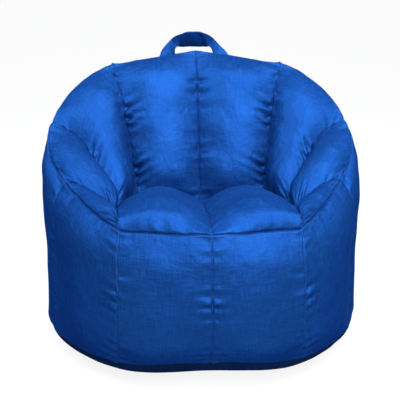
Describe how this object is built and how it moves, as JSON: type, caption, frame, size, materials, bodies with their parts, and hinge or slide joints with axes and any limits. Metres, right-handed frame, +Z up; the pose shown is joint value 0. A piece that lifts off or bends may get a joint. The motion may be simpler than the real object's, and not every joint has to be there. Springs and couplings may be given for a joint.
{
  "type": "bean bag chair",
  "caption": "Bucket-seat bean bag chair with a lobed sewn cover, a loose bead fill, a flat base with a zip and a carrying strap behind the backrest.",
  "frame": {"origin": "on the floor under the middle of the seat, on the flat underside of the base", "axes": "+Z up, +X across the seat to the sitter's left, the seat opens toward -Y"},
  "size_m": [0.743, 0.6481, 0.683],
  "materials": {
    "cover_cloth": "woven polyester satin, blue",
    "base_cloth": "plain woven polyester, dark blue",
    "strap_cloth": "folded polyester cloth, blue",
    "thread": "spun polyester thread",
    "beads": "loose expanded polystyrene beads",
    "zip_tape": "woven tape",
    "zip_plastic": "nylon coil",
    "zip_metal": "die-cast, satin",
    "label": "blank white woven label"
  },
  "bodies": {
    "cover": {"arm_front_left": "cover_cloth", "arm_front_right": "cover_cloth", "arm_upper_left": "cover_cloth", "arm_upper_right": "cover_cloth", "back_lobe_left": "cover_cloth", "back_lobe_right": "cover_cloth", "base_front": "base_cloth", "base_rear": "base_cloth", "base_threads": "thread", "bead_fill": "beads", "care_label": "label", "flank_front_left": "cover_cloth", "flank_front_right": "cover_cloth", "flank_rear_left": "cover_cloth", "flank_rear_right": "cover_cloth", "front_left": "cover_cloth", "front_right": "cover_cloth", "lobe_threads": "thread", "rear_centre_left": "cover_cloth", "rear_centre_right": "cover_cloth", "rear_side_left": "cover_cloth", "rear_side_right": "cover_cloth", "rim_threads": "thread", "seat_centre_thread": "thread", "seat_left": "cover_cloth", "seat_right": "cover_cloth", "seat_threads": "thread", "strap_end_left": "strap_cloth", "strap_end_right": "strap_cloth", "wall_threads": "thread", "wing_lobe_left": "cover_cloth", "wing_lobe_right": "cover_cloth", "zip_chain": "zip_plastic", "zip_stop_left": "zip_plastic", "zip_stop_right": "zip_plastic", "zip_tape_front": "zip_tape", "zip_tape_rear": "zip_tape"},
    "strap": {"carry_strap": "strap_cloth"},
    "slider": {"zip_slider": "zip_metal"}
  },
  "joints": [
    {"name": "strap_fold", "type": "hinge", "parent": "cover", "child": "strap", "pos_m": [0, 0.281, 0.6], "axis": [1, 0, 0], "range_deg": [-120, 30], "stiffness_Nm_per_rad": 0.03},
    {"name": "zip_slide", "type": "slide", "parent": "cover", "child": "slider", "axis": [1, 0, 0], "range_m": [0, 0.33]}
  ]
}
